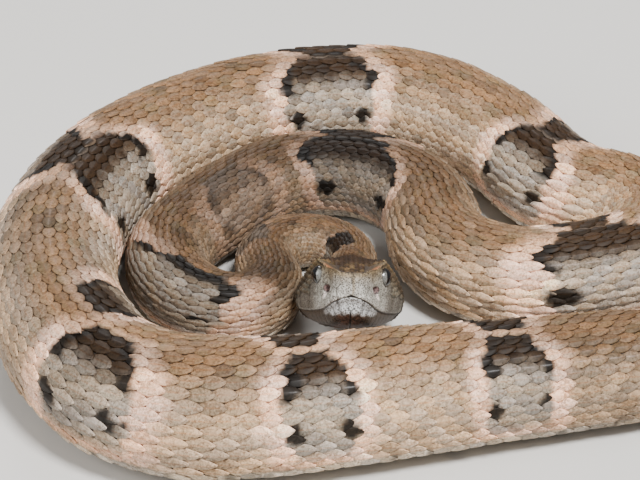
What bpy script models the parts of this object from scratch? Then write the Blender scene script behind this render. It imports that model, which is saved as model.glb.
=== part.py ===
"""A coiled lancehead viper, adult, about 1.13 m long, at rest with its head raised in the middle of its coils."""
import math

import bpy
import numpy as np

for old in list(bpy.data.objects):
    bpy.data.objects.remove(old, do_unlink=True)

MM = 0.001

# The body's route on the floor, from the back of the head to the tip of the tail: length in mm, turn to the left in degrees.
ROUTE = (
    ("nape", 8, -19),
    ("neck arch", 52, 225),
    ("hook", 35, -153),
    ("left hairpin", 38, -89),
    ("second coil", 34, -12),
    ("over the top", 75, -134),
    ("s bend", 46, 92),
    ("s run", 27, 22),
    ("right hairpin", 43, 137),
    ("crease", 30, -45),
    ("back right", 39, 25),
    ("back top", 38, 46),
    ("back left", 60, 34),
    ("left round", 140, 83),
    ("front bend", 40, 57),
    ("front left", 27, 12),
    ("front right", 101, 0),
    ("round the loop", 88, 82),
    ("tail root", 52, 22),
    ("tail tip", 105, -62),
)
ROUTE_START = (9.0, -7.7)
ROUTE_HEADING = 92.0
ROUTE_EASE = 6.0

# Half width and half height of the body against the distance from the head, in mm.
BODY_SIZE = (
    (0, 7.6, 7.8), (26, 8.4, 8.3), (59, 9.6, 9.2), (95, 12.0, 11.4), (137, 13.8, 12.9), (189, 13.9, 13.0),
    (251, 15.4, 14.2), (300, 16.6, 15.3), (330, 16.4, 15.4), (370, 16.4, 15.6), (400, 17.4, 16.1),
    (498, 18.5, 17.0), (604, 19.5, 18.0), (700, 21.0, 19.2), (735, 20.0, 18.2), (800, 17.6, 16.2),
    (850, 15.8, 14.6), (910, 12.8, 12.2), (955, 9.8, 9.4), (985, 7.6, 7.4), (1040, 4.4, 4.2), (1078, 1.7, 1.6),
)
SIZE_EASE = 12.0
VENT = 960.0
NECK_RISE = 2.8
NECK_RAMP = 13.0
NAPE_BLEND = 8.0
RING = 18
BELLY_POWER = 0.8
STATION = 6.6
CUT = 0.3
MAX_TURN = 74.0
MAX_RUN = 84.0

HEAD_PITCH = math.radians(30)
HEAD_ROLL = math.radians(2.5)
# Head outline against the distance back from the snout, in mm. Heights are from a line HEAD_LIFT above the neck's centre.
HEAD_BACK = (0.0, 1.6, 5.0, 10.0, 16.0, 24.0, 31.0, 36.0, 40.5, 45.5, 50.0)
CROWN_UP = (4.4, 5.3, 4.8, 4.2, 5.0, 6.3, 6.6, 6.4, 6.1, 5.9, 6.1)
BROW_UP = (4.0, 5.2, 5.3, 5.7, 7.2, 6.8, 6.0, 5.0, 4.0, 3.6, 3.8)
BROW_OUT = (2.2, 4.0, 5.6, 7.4, 10.3, 10.2, 10.2, 9.8, 8.6, 6.6, 5.6)
CHEEK_UP = (0.8, 0.4, -0.4, -0.9, -1.4, -2.2, -3.4, -4.0, -4.0, -3.0, -1.6)
CHEEK_OUT = (2.8, 4.8, 6.4, 8.1, 11.0, 13.9, 15.6, 15.9, 14.6, 10.8, 7.7)
LIP_UP = (-2.5, -3.6, -5.6, -7.0, -8.0, -8.9, -9.3, -9.4, -9.0, -7.6, -6.1)
LIP_OUT = (2.6, 4.9, 7.0, 8.7, 10.6, 13.0, 14.8, 15.1, 13.4, 9.6, 6.6)
CHIN_UP = (-6.4, -8.6, -10.8, -12.2, -12.9, -13.2, -13.1, -12.7, -12.0, -10.8, -9.5)
HEAD_LIFT = 1.6
JAW_FRONT = 1.0
JAW_BACK = 34.0
LIP_GAP = 0.3
EYE_BACK = 15.5
EYE_OUT = 8.8
EYE_UP = 2.6
EYE_RADIUS = 2.9
SOCKET_GAP = 0.3


def eased(at, knots, values, ease):
    """The values at the knots joined by straight lines, then averaged over a window, which rounds the corners."""
    window = np.linspace(-ease, ease, 9)
    return np.mean([np.interp(np.asarray(at, float) + w, knots, values) for w in window], axis=0)


ENDS = np.concatenate([[0.0], np.cumsum([length for _, length, _ in ROUTE])])
TURNS = np.concatenate([[0.0], np.cumsum([turn for _, _, turn in ROUTE])])
LENGTH = float(ENDS[-1])
FINE = np.arange(0.0, LENGTH + 0.5, 0.5)
HEADING = np.radians(ROUTE_HEADING + eased(FINE, ENDS, TURNS, ROUTE_EASE))
MIDWAY = (HEADING[1:] + HEADING[:-1]) / 2
ALONG_X = ROUTE_START[0] + np.concatenate([[0], np.cumsum(np.cos(MIDWAY) * 0.5)])
ALONG_Y = ROUTE_START[1] + np.concatenate([[0], np.cumsum(np.sin(MIDWAY) * 0.5)])
SIZE_AT, HALF_WIDTH, HALF_HEIGHT = (np.array(c, float) for c in zip(*BODY_SIZE))
LOWEST = math.cos(math.pi / RING) ** BELLY_POWER


def station(s):
    """Centre, sideways and upward directions and half sizes of the body at the distance s."""
    lead = max(0.0, 1 - s / NAPE_BLEND)
    heading = float(np.interp(s, FINE, HEADING)) * (1 - lead) + math.radians(90) * lead
    a = float(eased(s, SIZE_AT, HALF_WIDTH, SIZE_EASE))
    b = float(eased(s, SIZE_AT, HALF_HEIGHT, SIZE_EASE))
    left = max(0.0, 1 - s / NECK_RAMP)
    centre = np.array([np.interp(s, FINE, ALONG_X), np.interp(s, FINE, ALONG_Y), b * LOWEST + NECK_RISE * left**2])
    fall = HEAD_PITCH * left
    along = np.array([math.cos(heading) * math.cos(fall), math.sin(heading) * math.cos(fall), -math.sin(fall)])
    side = np.array([-math.sin(heading), math.cos(heading), 0.0])
    return centre, along, side, np.cross(along, side), a, b


def body_ring(s, shift=0.0):
    """One ring of the body, rounded above and flatter below, moved along the body by shift."""
    centre, along, side, up, a, b = station(s)
    ring = []
    for k in range(RING):
        turn = 2 * math.pi * (k + 0.5) / RING
        across, rise = math.sin(turn), math.cos(turn)
        if rise < 0:
            across = math.copysign(abs(across) ** BELLY_POWER, across)
            rise = -(abs(rise) ** BELLY_POWER)
        ring.append(centre + along * shift + side * (a * across) + up * (b * rise))
    return ring


def loft(name, rings, colour):
    """A closed solid through rings of equal counts, with flat ends."""
    count = len(rings[0])
    verts = [tuple(p * MM) for ring in rings for p in ring]
    faces = [tuple(reversed(range(count)))]
    for r in range(len(rings) - 1):
        for k in range(count):
            here, there = r * count + k, r * count + (k + 1) % count
            faces.append((here, there, there + count, here + count))
    faces.append(tuple((len(rings) - 1) * count + k for k in range(count)))
    return solid(name, verts, faces, colour)


def solid(name, verts, faces, colour):
    mesh = bpy.data.meshes.new(name)
    mesh.from_pydata(verts, [], faces)
    mesh.validate()
    thing = bpy.data.objects.new(name, mesh)
    bpy.context.scene.collection.objects.link(thing)
    material = bpy.data.materials.new(name)
    material.use_nodes = True
    shader = material.node_tree.nodes["Principled BSDF"]
    shader.inputs["Base Color"].default_value = (*colour, 1.0)
    shader.inputs["Roughness"].default_value = 0.55
    mesh.materials.append(material)
    volume = sum(
        mesh.vertices[p.vertices[0]].co.dot(mesh.vertices[p.vertices[i]].co.cross(mesh.vertices[p.vertices[i + 1]].co))
        for p in mesh.polygons
        for i in range(1, len(p.vertices) - 1)
    )
    if volume < 0:
        mesh.flip_normals()
    return thing


def body_cuts():
    """The distances at which the body is divided, so that no length bends round a space."""
    cuts, last = [0.0], 0.0
    heading = np.degrees(HEADING)
    for s in np.arange(1.0, LENGTH - 12, 1.0):
        span = heading[(FINE >= last) & (FINE <= s)]
        turned = float(np.abs(np.diff(span)).sum())
        if turned > MAX_TURN or s - last > MAX_RUN or (last < VENT <= s):
            cuts.append(float(s))
            last = float(s)
    return cuts + [LENGTH]


def head_at(u, table):
    return float(np.interp(u, HEAD_BACK, table))


def turn_head(u, v, w):
    """A place in the head, u back from the snout, v to the snake's left and w up, in the room."""
    back = HEAD_BACK[-1] - u
    v, w = v * math.cos(HEAD_ROLL) + w * math.sin(HEAD_ROLL), w * math.cos(HEAD_ROLL) - v * math.sin(HEAD_ROLL)
    forward = np.array([0.0, -math.cos(HEAD_PITCH), math.sin(HEAD_PITCH)])
    up = np.array([0.0, math.sin(HEAD_PITCH), math.cos(HEAD_PITCH)])
    return HEAD_JOINT + forward * back + np.array([1.0, 0.0, 0.0]) * v + up * (w + HEAD_LIFT)


def mirrored(u, half):
    """A ring from half an outline that runs from the bottom's middle to the top's middle."""
    right = [turn_head(u, v, w) for v, w in half]
    left = [turn_head(u, -v, w) for v, w in half[-2:0:-1]]
    return right + left


def upper_half(u, whole):
    crown, brow, brow_out = head_at(u, CROWN_UP), head_at(u, BROW_UP), head_at(u, BROW_OUT)
    cheek, cheek_out = head_at(u, CHEEK_UP), head_at(u, CHEEK_OUT)
    lip, lip_out, chin = head_at(u, LIP_UP), head_at(u, LIP_OUT), head_at(u, CHIN_UP)
    if whole:
        under = [(0.0, chin), (lip_out * 0.42, chin + 0.3), (lip_out * 0.8, chin * 0.75 + lip * 0.25)]
    else:
        under = [(0.0, lip), (lip_out * 0.42, lip), (lip_out * 0.8, lip)]
    side = [
        (lip_out, lip),
        ((lip_out + cheek_out) / 2 + 0.4, (lip + cheek) / 2 - 0.3),
        (cheek_out, cheek),
        (cheek_out * 0.6 + brow_out * 0.4, cheek * 0.45 + brow * 0.55),
        (brow_out, brow - 0.3),
        (brow_out * 0.82, brow + 0.35 * (crown - brow) + 0.15),
        (brow_out * 0.42, crown - 0.1),
        (0.0, crown),
    ]
    return under + side


def jaw_half(u):
    lip = head_at(u, LIP_UP) - LIP_GAP
    lip_out, chin = head_at(u, LIP_OUT) - 0.3, head_at(u, CHIN_UP)
    return [
        (0.0, chin),
        (lip_out * 0.42, chin + 0.3),
        (lip_out * 0.8, chin * 0.75 + lip * 0.25),
        (lip_out * 0.98, chin * 0.3 + lip * 0.7),
        (lip_out, lip),
        (lip_out * 0.5, lip),
        (0.0, lip),
    ]


def ball(name, centre, radius, colour, rows, columns):
    """A closed ball whose poles lie to the snake's left and right."""
    verts = [tuple(centre + np.array([radius, 0, 0]))]
    for r in range(1, rows):
        polar = math.pi * r / rows
        for c in range(columns):
            turn = 2 * math.pi * c / columns
            place = np.array([math.cos(polar), math.sin(polar) * math.cos(turn), math.sin(polar) * math.sin(turn)])
            verts.append(tuple(centre + radius * place))
    verts.append(tuple(centre - np.array([radius, 0, 0])))
    faces = [(0, 1 + c, 1 + (c + 1) % columns) for c in range(columns)]
    for r in range(rows - 2):
        for c in range(columns):
            a, b = 1 + r * columns + c, 1 + r * columns + (c + 1) % columns
            faces.append((a, a + columns, b + columns, b))
    end, base = len(verts) - 1, 1 + (rows - 2) * columns
    faces += [(base + (c + 1) % columns, base + c, end) for c in range(columns)]
    return solid(name, [tuple(np.array(p) * MM) for p in verts], faces, colour)


SKIN, PALE, DARK = (0.30, 0.24, 0.17), (0.52, 0.49, 0.44), (0.03, 0.03, 0.03)
HEAD_JOINT = station(0.0)[0]

cuts = body_cuts()
trunk = 0
for first, last in zip(cuts[:-1], cuts[1:]):
    if first == 0.0:
        name = "neck"
    elif first < VENT - 1:
        trunk += 1
        name = f"trunk_{trunk:02d}"
    else:
        name = "tail" if last < LENGTH else "tail_tip"
    steps = max(2, math.ceil((last - first) / STATION))
    places = np.linspace(first, last, steps + 1)
    rings = [body_ring(places[0], CUT / 2)] + [body_ring(s) for s in places[1:-1]]
    rings.append(body_ring(places[-1], -CUT / 2 if last < LENGTH else 0.0))
    loft(name, rings, SKIN)

front = [u for u in (*HEAD_BACK, 13.0, 20.0) if u < JAW_BACK]
rings = [mirrored(u, upper_half(u, False)) for u in sorted(front)]
rings.append(mirrored(JAW_BACK, upper_half(JAW_BACK, False)))
rings += [mirrored(u, upper_half(u, True)) for u in (JAW_BACK + 0.02, 36.0, 38.5, 40.5, 43.0, 45.5, 48.0, 50.0 - CUT)]
head = loft("head", rings, SKIN)

jaw_places = (JAW_FRONT, 1.8, 3.2, 5.0, 7.5, 10.0, 13.0, 16.0, 20.0, 24.0, 28.0, JAW_BACK - CUT)
loft("lower_jaw", [mirrored(u, jaw_half(u)) for u in jaw_places], PALE)

for name, sign in (("eye_left", 1), ("eye_right", -1)):
    middle = turn_head(EYE_BACK, sign * EYE_OUT, EYE_UP)
    socket = ball("socket", middle, EYE_RADIUS + SOCKET_GAP, DARK, 10, 14)
    cutter = head.modifiers.new("socket", "BOOLEAN")
    cutter.operation, cutter.solver, cutter.object = "DIFFERENCE", "EXACT", socket
    done = bpy.data.meshes.new_from_object(head.evaluated_get(bpy.context.evaluated_depsgraph_get()))
    head.modifiers.clear()
    head.data = done
    bpy.data.objects.remove(socket, do_unlink=True)
    ball(name, middle, EYE_RADIUS, DARK, 10, 14)

things = list(bpy.context.scene.objects)
corners = np.array([tuple(v.co) for o in things for v in o.data.vertices])
middle = (corners.min(axis=0) + corners.max(axis=0)) / 2
for thing in things:
    for vertex in thing.data.vertices:
        vertex.co.x -= middle[0]
        vertex.co.y -= middle[1]
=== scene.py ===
# %% [markdown]
# A coiled lancehead viper at rest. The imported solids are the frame: every piece below is made in their
# place, in metres, and none of them is moved. A reader who is learning Blender can run the cells from top
# to bottom.

# %% Load the frame
import math

import bpy
import numpy as np
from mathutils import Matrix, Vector


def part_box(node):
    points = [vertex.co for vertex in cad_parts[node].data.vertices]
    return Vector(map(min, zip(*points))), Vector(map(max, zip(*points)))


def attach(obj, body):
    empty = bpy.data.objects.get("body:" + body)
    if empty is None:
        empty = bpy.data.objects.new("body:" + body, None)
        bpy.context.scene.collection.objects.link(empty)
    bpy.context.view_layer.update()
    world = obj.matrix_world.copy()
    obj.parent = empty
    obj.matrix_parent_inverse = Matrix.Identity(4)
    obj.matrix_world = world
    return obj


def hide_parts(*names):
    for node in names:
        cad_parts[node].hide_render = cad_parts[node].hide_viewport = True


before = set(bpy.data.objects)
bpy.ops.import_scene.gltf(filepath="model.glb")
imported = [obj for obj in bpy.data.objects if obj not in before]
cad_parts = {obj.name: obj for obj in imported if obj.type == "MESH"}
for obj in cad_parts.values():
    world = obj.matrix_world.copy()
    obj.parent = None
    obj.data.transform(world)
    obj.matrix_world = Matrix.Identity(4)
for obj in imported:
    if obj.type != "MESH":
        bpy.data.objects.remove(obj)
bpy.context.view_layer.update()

MM = 0.001
rng = np.random.default_rng(11)
print("nodes in the frame:", len(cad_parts))

# %% [markdown]
# The body is one long tube that follows a route on the floor. On the real snake the spine bends evenly
# between its joints, so the route is a list of named bends, each with a length and a turn, and the corners
# between them are eased. The same values made the solids, which is why the skin fits inside them.

# %% The route of the body, in mm and degrees
ROUTE = (
    ("nape", 8, -19), ("neck arch", 52, 225), ("hook", 35, -153), ("left hairpin", 38, -89),
    ("second coil", 34, -12), ("over the top", 75, -134), ("s bend", 46, 92), ("s run", 27, 22),
    ("right hairpin", 43, 137), ("crease", 30, -45), ("back right", 39, 25), ("back top", 38, 46),
    ("back left", 60, 34), ("left round", 140, 83), ("front bend", 40, 57), ("front left", 27, 12),
    ("front right", 101, 0), ("round the loop", 88, 82), ("tail root", 52, 22), ("tail tip", 105, -62),
)
ROUTE_START, ROUTE_HEADING, ROUTE_EASE, FINE_STEP = (9.0, -7.7), 92.0, 6.0, 0.5


def eased(at, knots, values, ease):
    """The values at the knots joined by straight lines, then averaged over a window, which rounds corners."""
    window = np.linspace(-ease, ease, 9)
    return np.mean([np.interp(np.asarray(at, float) + w, knots, values) for w in window], axis=0)


ENDS = np.concatenate([[0.0], np.cumsum([length for _, length, _ in ROUTE])])
TURNS = np.concatenate([[0.0], np.cumsum([turn for _, _, turn in ROUTE])])
LENGTH = float(ENDS[-1])
FINE = np.arange(0.0, LENGTH + FINE_STEP, FINE_STEP)
HEADING = np.radians(ROUTE_HEADING + eased(FINE, ENDS, TURNS, ROUTE_EASE))
MIDWAY = (HEADING[1:] + HEADING[:-1]) / 2
ALONG_X = ROUTE_START[0] + np.concatenate([[0], np.cumsum(np.cos(MIDWAY) * FINE_STEP)])
ALONG_Y = ROUTE_START[1] + np.concatenate([[0], np.cumsum(np.sin(MIDWAY) * FINE_STEP)])
print(f"route {LENGTH:.0f} mm")

# %% [markdown]
# A viper's body is a little wider than it is high, thin behind the head, thickest past the middle and drawn
# out to a thin tail. Half widths and half heights are named at distances along the back, and its section is
# round above and flatter below, because the real belly spreads under the snake's weight.

# %% How thick the body is, and where its spine runs
BODY_SIZE = (
    (0, 7.6, 7.8), (26, 8.4, 8.3), (59, 9.6, 9.2), (95, 12.0, 11.4), (137, 13.8, 12.9), (189, 13.9, 13.0),
    (251, 15.4, 14.2), (300, 16.6, 15.3), (330, 16.4, 15.4), (370, 16.4, 15.6), (400, 17.4, 16.1),
    (498, 18.5, 17.0), (604, 19.5, 18.0), (700, 21.0, 19.2), (735, 20.0, 18.2), (800, 17.6, 16.2),
    (850, 15.8, 14.6), (910, 12.8, 12.2), (955, 9.8, 9.4), (985, 7.6, 7.4), (1040, 4.4, 4.2),
    (1078, 1.7, 1.6),
)
SIZE_EASE, BELLY_POWER, LOWEST = 12.0, 0.8, math.cos(math.pi / 18) ** 0.8
NECK_RISE, NECK_RAMP, NAPE_BLEND = 2.8, 13.0, 8.0
HEAD_PITCH, HEAD_ROLL, HEAD_LIFT = math.radians(30), math.radians(2.5), 1.6
SIZE_AT, HALF_WIDTH, HALF_HEIGHT = (np.array(c, float) for c in zip(*BODY_SIZE))


def spine(s):
    """Centre, tailward, leftward and upward directions and half sizes of the body at the distances s."""
    s = np.asarray(s, float)
    lead = np.clip(1 - s / NAPE_BLEND, 0, 1)
    heading = np.interp(s, FINE, HEADING) * (1 - lead) + math.radians(90) * lead
    a = eased(s, SIZE_AT, HALF_WIDTH, SIZE_EASE)
    b = eased(s, SIZE_AT, HALF_HEIGHT, SIZE_EASE)
    left = np.clip(1 - s / NECK_RAMP, 0, 1)
    fall = HEAD_PITCH * left
    height = b * LOWEST + NECK_RISE * left**2
    centre = np.stack([np.interp(s, FINE, ALONG_X), np.interp(s, FINE, ALONG_Y), height], -1)
    along = np.stack([np.cos(heading) * np.cos(fall), np.sin(heading) * np.cos(fall), -np.sin(fall)], -1)
    side = np.stack([-np.sin(heading), np.cos(heading), 0 * heading], -1)
    return centre, along, side, np.cross(along, side), a, b


HEAD_JOINT = spine(np.array(0.0))[0]
print("the head joins the neck at", HEAD_JOINT.round(1), "mm")


# %% The body's section and any place on it
INSET, BREATH, PROBE = 0.22, 0.22, 0.02


def profile(turn):
    """The body's unit section. turn is 0 on the back and grows to the snake's left."""
    across, rise = np.sin(turn), np.cos(turn)
    low = rise < 0
    across = np.where(low, np.sign(across) * np.abs(across) ** BELLY_POWER, across)
    rise = np.where(low, -(np.abs(rise) ** BELLY_POWER), rise)
    return across, rise


def body_place(s, turn, sunk=0.0):
    """Places and outward directions on the body, sunk below its outline by that many mm."""
    centre, along, side, up, a, b = spine(s)
    across, rise = profile(turn)
    (x0, z0), (x1, z1) = profile(turn - PROBE), profile(turn + PROBE)
    tx, tz = (x1 - x0) * a, (z1 - z0) * b
    size = np.hypot(tx, tz)
    out = side * (-tz / size)[..., None] + up * (tx / size)[..., None]
    soft = BREATH * np.sin(s / 5.3 + 2.0 * np.sin(turn)) * np.sin(s / 13.7 + turn)
    place = centre + side * (a * across)[..., None] + up * (b * rise)[..., None]
    return place - out * (sunk + INSET - soft)[..., None], out


print("widest half section", round(float(HALF_WIDTH.max()), 1), "mm")

# %% [markdown]
# The head is a loft of half outlines, chin to crown, at named distances back from the snout. A lancehead's
# head is an arrowhead from above: narrow at the snout, sharp along the canthus, widest at the venom glands
# and then a thin neck.

# %% The head's sizes, in mm
HEAD_BACK = (0.0, 1.6, 5.0, 10.0, 16.0, 24.0, 31.0, 36.0, 40.5, 45.5, 50.0)
CROWN_UP = (4.4, 5.3, 4.8, 4.2, 5.0, 6.3, 6.6, 6.4, 6.1, 5.9, 6.1)
BROW_UP = (4.0, 5.2, 5.3, 5.7, 7.2, 6.8, 6.0, 5.0, 4.0, 3.6, 3.8)
BROW_OUT = (2.2, 4.0, 5.6, 7.4, 10.3, 10.2, 10.2, 9.8, 8.6, 6.6, 5.6)
CHEEK_UP = (0.8, 0.4, -0.4, -0.9, -1.4, -2.2, -3.4, -4.0, -4.0, -3.0, -1.6)
CHEEK_OUT = (2.8, 4.8, 6.4, 8.1, 11.0, 13.9, 15.6, 15.9, 14.6, 10.8, 7.7)
LIP_UP = (-2.5, -3.6, -5.6, -7.0, -8.0, -8.9, -9.3, -9.4, -9.0, -7.6, -6.1)
LIP_OUT = (2.6, 4.9, 7.0, 8.7, 10.6, 13.0, 14.8, 15.1, 13.4, 9.6, 6.6)
CHIN_UP = (-6.4, -8.6, -10.8, -12.2, -12.9, -13.2, -13.1, -12.7, -12.0, -10.8, -9.5)
HEAD_END = HEAD_BACK[-1]
EYE_BACK, EYE_OUT, EYE_UP, EYE_RADIUS = 15.5, 8.8, 2.6, 2.9
HEAD_EASE, HEAD_SUNK = 1.5, 0.3
FORWARD = np.array([0.0, -math.cos(HEAD_PITCH), math.sin(HEAD_PITCH)])
UPWARD = np.array([0.0, math.sin(HEAD_PITCH), math.cos(HEAD_PITCH)])
LEFT = np.array([1.0, 0.0, 0.0])


def head_at(u, table):
    return eased(u, HEAD_BACK, table, HEAD_EASE)


def turn_head(u, v, w):
    """Places in the room of head places: u back from the snout, v to the snake's left and w up, in mm."""
    back = HEAD_END - u
    cos, sin = math.cos(HEAD_ROLL), math.sin(HEAD_ROLL)
    v, w = v * cos + w * sin, w * cos - v * sin
    return HEAD_JOINT + FORWARD * back[..., None] + LEFT * v[..., None] + UPWARD * (w + HEAD_LIFT)[..., None]


# %% Where the frame lies
low, high = (np.array(c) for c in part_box("eye_left"))
eye_here = turn_head(np.array(EYE_BACK), np.array(EYE_OUT), np.array(EYE_UP))
SHIFT = (low + high) / 2 / MM - eye_here
print("the frame lies", SHIFT.round(2), "mm from the route's own origin")

# %% [markdown]
# A head like this could be sculpted, or lofted from sections. The sections win here, because the same
# eleven points make the solid: a smooth curve is run through them at each distance, and the rings are dense
# enough for lips, pits and plates to be pressed in afterwards.


# %% Soft steps for masks
def smooth(x, start, end):
    """0 before the start, 1 after the end and a soft step between."""
    k = np.clip((np.asarray(x, float) - start) / (end - start), 0, 1)
    return k * k * (3 - 2 * k)


def fading(x, start, end):
    """1 before the start, 0 after the end and a soft step between."""
    return 1 - smooth(x, start, end)


def between(x, start, full, fade, end):
    """1 from full to fade, with soft steps down to 0 at the start and at the end."""
    return smooth(x, start, full) * fading(x, fade, end)


def hump(x, middle, width):
    """1 at the middle, falling off softly on both sides."""
    return np.exp(-(((x - middle) / width) ** 2))


print("halfway up a soft step:", smooth(0.5, 0, 1))

# %% The outline of the head at any distance
HEAD_STEP, CAP_DEPTH, CAP_RINGS = 0.24, 0.7, 20
SPREAD = (12, 14, 14, 14, 16, 16, 16, 8, 10, 8)
COLUMNS = 2 * sum(SPREAD)


def half_outline(u):
    """The eleven points of half an outline, chin's middle to crown's middle, at each distance u."""
    crown, brow, cheek, lip, chin = (head_at(u, t) for t in (CROWN_UP, BROW_UP, CHEEK_UP, LIP_UP, CHIN_UP))
    brow_out, cheek_out, lip_out = (head_at(u, table) for table in (BROW_OUT, CHEEK_OUT, LIP_OUT))
    out = [0 * u, lip_out * 0.42, lip_out * 0.8, lip_out, (lip_out + cheek_out) / 2 + 0.4, cheek_out,
           cheek_out * 0.6 + brow_out * 0.4, brow_out, brow_out * 0.82, brow_out * 0.42, 0 * u]
    up = [chin, chin + 0.3, chin * 0.75 + lip * 0.25, lip, (lip + cheek) / 2 - 0.3, cheek,
          cheek * 0.45 + brow * 0.55, brow - 0.3, brow + 0.35 * (crown - brow) + 0.15, crown - 0.1, crown]
    return np.stack([np.stack(out, -1), np.stack(up, -1)], -1)


def round_outline(points, at):
    """A smooth curve through half outlines (n, 11, 2), read at the places 0 to 10 between their points."""
    flip = np.array([-1, 1])
    knots = np.concatenate([points[:, 1:2] * flip, points, points[:, 9:10] * flip], axis=1)
    i = np.minimum(at.astype(int), 9)
    f = (at - i)[None, :, None]
    p0, p1, p2, p3 = (knots[:, i + k] for k in range(4))
    bend = 2 * p0 - 5 * p1 + 4 * p2 - p3
    return 0.5 * (2 * p1 + (p2 - p0) * f + bend * f**2 + (3 * p1 - p0 - 3 * p2 + p3) * f**3)


print("columns round the head:", COLUMNS)

# %% The head's surface in its own measures
steps = [i + k / count for i, count in enumerate(SPREAD) for k in range(count)] + [10.0]
HALF = np.array(steps)
AT = np.concatenate([HALF, HALF[-2:0:-1]])
LIP, ARCH_TOP, ARCH_FALL, ARCH_BACK, LIP_SLOPE, LIP_DROP = 3.0, -2.35, 0.056, 0.07, 3.6, 0.9

back = np.arange(CAP_DEPTH, HEAD_END + HEAD_STEP / 2, HEAD_STEP)
grow = np.linspace(0.07, 1.0, CAP_RINGS)[:-1]
grow_all = np.concatenate([grow, np.ones(len(back))])
place_u = np.concatenate([np.full(len(grow), CAP_DEPTH), back])
half = round_outline(half_outline(place_u), HALF)
ring = np.concatenate([half, half[:, -2:0:-1] * np.array([-1, 1])], axis=1)
middle = np.array([0.0, head_at(np.array(CAP_DEPTH), LIP_UP) + 0.4])
ring = middle + (ring - middle) * grow_all[:, None, None]
head_u = np.where(grow_all < 1, CAP_DEPTH * (1 - np.sqrt(1 - grow_all**2)), place_u)
head_u = head_u[:, None] + 0 * ring[..., 0]
head_v, head_w = ring[..., 0], ring[..., 1]
head_t = AT[None, :] + 0 * head_u
far_back = smooth(head_u, 3.5, 7.5)
arch = head_w - ARCH_TOP + ARCH_FALL * head_v**2 + ARCH_BACK * head_u
lip_level = arch * (1 - far_back) + LIP_SLOPE * (head_t - LIP) * far_back
head_u = head_u + LIP_DROP * smooth(-lip_level, 0.0, 2.2) * fading(head_u, 2.0, 8.0)
print("head rings and columns:", head_u.shape)

# %% [markdown]
# The plates of the face are grown the way cells divide a surface: every plate has a seed, each place
# belongs to the nearest one, and a fine groove runs where two plates are equally near. A long plate has
# several seeds.

# %% Seeds for the plates of face and chin
PLATES = {
    "rostral": ((0.2, 3.7), (0.2, 4.6)), "mental": ((1.0, 2.2), (1.0, 1.0)),
    "nasal front": ((1.6, 5.6), (1.9, 6.4)), "nasal back": ((4.2, 5.6), (4.6, 6.3)),
    "internasal": ((1.2, 8.6), (1.6, 9.3)), "canthal front": ((4.0, 8.0), (4.4, 8.9)),
    "canthal back": ((7.6, 8.0), (8.2, 8.9)), "loreal": ((7.0, 6.5),),
    "preocular": ((10.6, 6.5), (11.6, 6.6)), "pit above": ((9.6, 5.9),),
    "pit below": ((9.4, 4.9), (10.8, 4.9)), "pit front": ((6.2, 5.1),),
    "supraocular": tuple((u, 8.0) for u in (11.8, 13.6, 15.6, 17.6, 19.2)) + ((14.0, 8.7), (16.6, 8.7)),
    "subocular 1": ((13.2, 5.3),), "subocular 2": ((15.6, 5.0),), "subocular 3": ((18.2, 5.2),),
    "chin shield": ((6.0, 0.5), (8.5, 0.5), (10.5, 0.6)), "chin shield back": ((13.5, 0.5), (15.5, 0.6)),
}
for number, u in enumerate((2.3, 5.2, 8.6, 12.2, 16.4, 20.8, 25.4, 30.0)):
    PLATES[f"upper lip {number}"] = ((u, 3.45), (u, 4.05 if u < 8 else 4.25))
for number, u in enumerate((2.6, 5.0, 7.8, 11.0, 14.4, 18.0, 22.0, 26.2, 30.6)):
    PLATES[f"lower lip {number}"] = ((u, 2.55), (u, 2.05), (u + 0.6, 1.6))


def on_side(u, t):
    """The v and w of the head's surface at the distance u and the outline place t."""
    v, w = round_outline(half_outline(np.array([float(u)])), np.array([float(t)]))[0, 0]
    return v, w


names, seeds, above = [], [], []
for number, (name, places) in enumerate(PLATES.items()):
    for u, t in places:
        v, w = on_side(u, t)
        names += [2 * number, 2 * number + (name not in ("rostral", "mental"))]
        seeds += [(u, v, w), (u, -v, w)]
        above += [t > LIP, t > LIP]
names, seeds = np.array(names), np.array(seeds)
print(len(PLATES), "kinds of plate,", len(seeds), "seeds")

# %% Grow the plates and find the seams between them
ACROSS_MOUTH, SEAM_WIDTH = 9.0, 0.34
spots = np.stack([head_u, head_v, head_w], -1).reshape(-1, 3)
other_lip = np.array(above)[None] != (lip_level.reshape(-1, 1) > 0)
apart = np.linalg.norm(spots[:, None] - seeds[None], axis=2) + ACROSS_MOUTH * other_lip
owner = names[apart.argmin(axis=1)]
nearest = apart.min(axis=1)
second = np.where(names[None] == owner[:, None], np.inf, apart).min(axis=1)
seam = np.exp(-(((second - nearest) / SEAM_WIDTH) ** 2)).reshape(head_u.shape)
seam = seam * (1 - 0.65 * smooth(head_u, 7.0, 12.0) * (lip_level < 0))
plate_near = nearest.reshape(head_u.shape)
print("places in a seam:", int((seam > 0.5).sum()))

# %% Where the plates lie
lips = between(head_t, 1.4, 1.7, 4.5, 4.8) * fading(head_u, 31.5, 33.5)
snout = smooth(head_t, 1.2, 1.5) * fading(head_u + 1.6 * np.maximum(0, head_t - 6), 13.0, 14.6)
brows = between(head_t, 7.3, 7.5, 8.9, 9.2) * between(head_u, 10.6, 11.2, 19.6, 20.4)
face = between(head_t, 4.4, 4.8, 7.2, 7.5) * fading(head_u, 18.5, 20.0)
chin = fading(head_t, 1.2, 1.5) * fading(head_u, 15.5, 16.5)
plated = np.clip(np.maximum.reduce([lips, snout, brows, face, chin]), 0, 1)
print("share of the head with plates:", round(float(plated.mean()), 2))

# %% [markdown]
# The folds come next: the mouth's line with the upper lip hanging over the lower one, the notch for the
# tongue, the chin's forked groove, the nostrils and the ridge of the brow. Each is a soft mask times a
# depth in mm.

# %% Masks of the folds
NOSTRIL, FORK_UP = (3.1, 6.1), -6.5


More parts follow.
